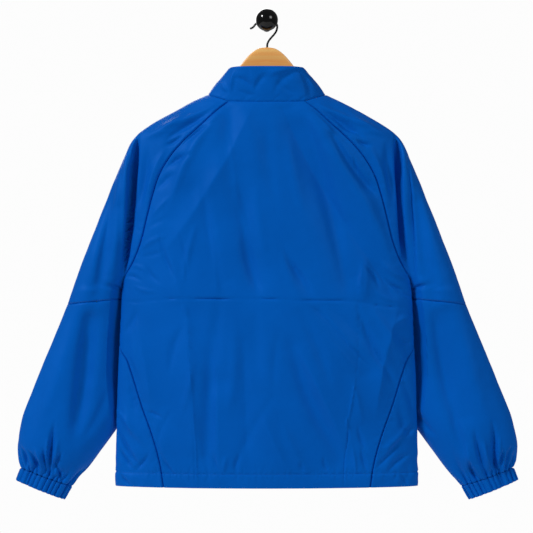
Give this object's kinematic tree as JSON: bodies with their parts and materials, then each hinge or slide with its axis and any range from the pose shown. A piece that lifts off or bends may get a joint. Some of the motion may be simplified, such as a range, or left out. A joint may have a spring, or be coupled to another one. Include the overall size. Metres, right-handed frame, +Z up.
{
  "type": "windbreaker jacket on a wooden hanger and wall peg",
  "caption": "Blue windbreaker with raglan sleeves, stand collar, full zip and gathered cuffs, hung on a wooden hanger whose wire hook rests on a ball-ended wall peg.",
  "frame": {"origin": "centre of the wall peg's flat back face, on the wall", "axes": "+Z up, +Y into the wall, +X to the right for a viewer who faces the wall and sees the jacket's back"},
  "size_m": [0.906, 0.1429, 0.8805],
  "materials": {
    "shell_cloth": "thin crinkled nylon with a slight sheen",
    "zip_tape": "woven tape with moulded teeth",
    "zip_metal": "blue enamel, satin",
    "hanger_wood": "clear satin lacquer",
    "hook_metal": "black, satin",
    "peg_metal": "black, high gloss"
  },
  "bodies": {
    "jacket_on_hanger": {"back": "shell_cloth", "front_left": "shell_cloth", "front_right": "shell_cloth", "sleeve_upper_left": "shell_cloth", "sleeve_upper_right": "shell_cloth", "sleeve_lower_left": "shell_cloth", "sleeve_lower_right": "shell_cloth", "cuff_left": "shell_cloth", "cuff_right": "shell_cloth", "collar": "shell_cloth", "zip_tape": "zip_tape", "zip_slider": "zip_metal", "zip_bridge": "zip_metal", "hanger_wood": "hanger_wood", "hanger_hook": "hook_metal", "wall_peg": "peg_metal"},
    "pull_tab": {"zip_pull": "zip_metal"}
  },
  "joints": [
    {"name": "pull_hinge", "type": "hinge", "parent": "jacket_on_hanger", "child": "pull_tab", "pos_m": [0, -0.03287, -0.137], "axis": [1, 0, 0], "range_deg": [0, 150]}
  ]
}
